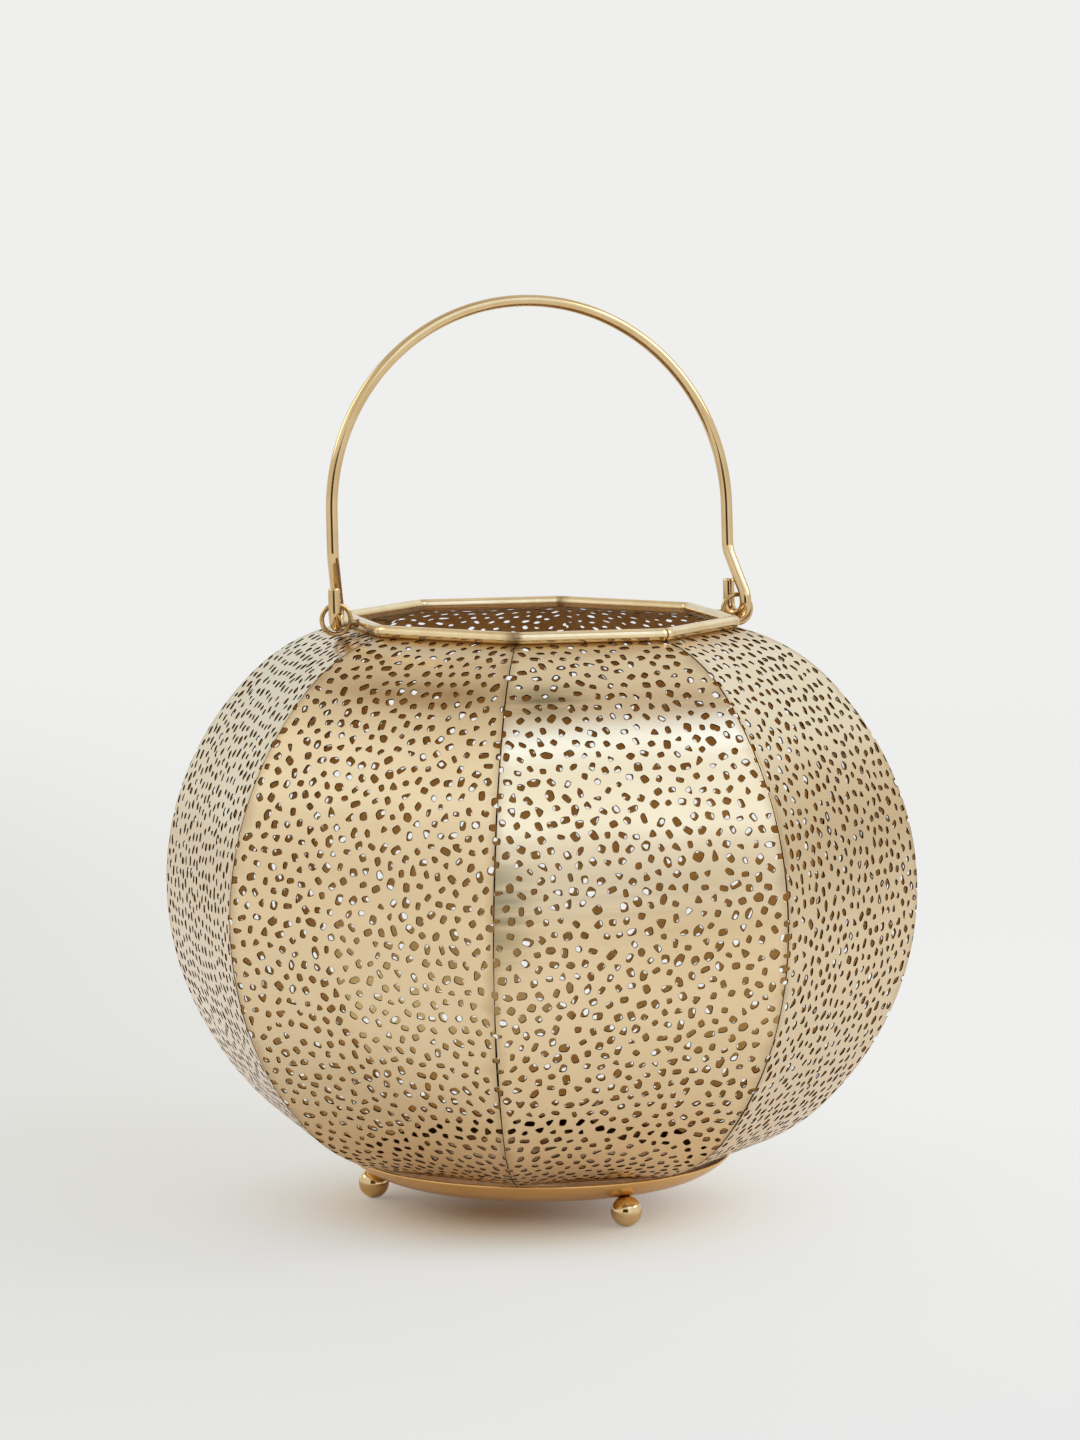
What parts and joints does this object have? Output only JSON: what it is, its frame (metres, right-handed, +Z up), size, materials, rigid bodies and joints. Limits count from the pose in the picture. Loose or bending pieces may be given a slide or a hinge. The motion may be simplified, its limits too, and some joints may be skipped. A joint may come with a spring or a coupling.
{
  "type": "hanging lantern",
  "caption": "Bulbous hanging lantern of pierced flat-sided metal gores, with a beaded open mouth, a candle dish on ball feet and a swinging wire bail.",
  "frame": {"origin": "on the axis of the bulb, on the surface that the ball feet stand on", "axes": "+Z up along the axis of the bulb; X through the two bail rings, which is the hinge line of the bail"},
  "size_m": [0.24, 0.24, 0.3108],
  "materials": {
    "sheet_brass": "satin, finely brushed across the panel",
    "rim_brass": "polished, worn at the joints",
    "dish_brass": "satin, spun",
    "ball_brass": "polished",
    "screw_brass": "turned",
    "wire_brass": "polished drawn wire"
  },
  "bodies": {
    "lantern": {"gore_panel_1": "sheet_brass", "gore_panel_2": "sheet_brass", "gore_panel_3": "sheet_brass", "gore_panel_4": "sheet_brass", "gore_panel_5": "sheet_brass", "gore_panel_6": "sheet_brass", "gore_panel_7": "sheet_brass", "gore_panel_8": "sheet_brass", "rim_rod_1": "rim_brass", "rim_rod_2": "rim_brass", "rim_rod_3": "rim_brass", "rim_rod_4": "rim_brass", "rim_rod_5": "rim_brass", "rim_rod_6": "rim_brass", "rim_rod_7": "rim_brass", "rim_rod_8": "rim_brass", "base_dish": "dish_brass", "foot_ball_1": "ball_brass", "foot_ball_2": "ball_brass", "foot_ball_3": "ball_brass", "foot_screw_1": "screw_brass", "foot_screw_2": "screw_brass", "foot_screw_3": "screw_brass", "bail_ring_left": "wire_brass", "bail_ring_right": "wire_brass"},
    "bail": {"bail": "wire_brass"}
  },
  "joints": [
    {"name": "bail_swing", "type": "hinge", "parent": "lantern", "child": "bail", "pos_m": [0, 0, 0.20732], "axis": [1, 0, 0], "range_deg": [-92.5, 104.5]}
  ]
}
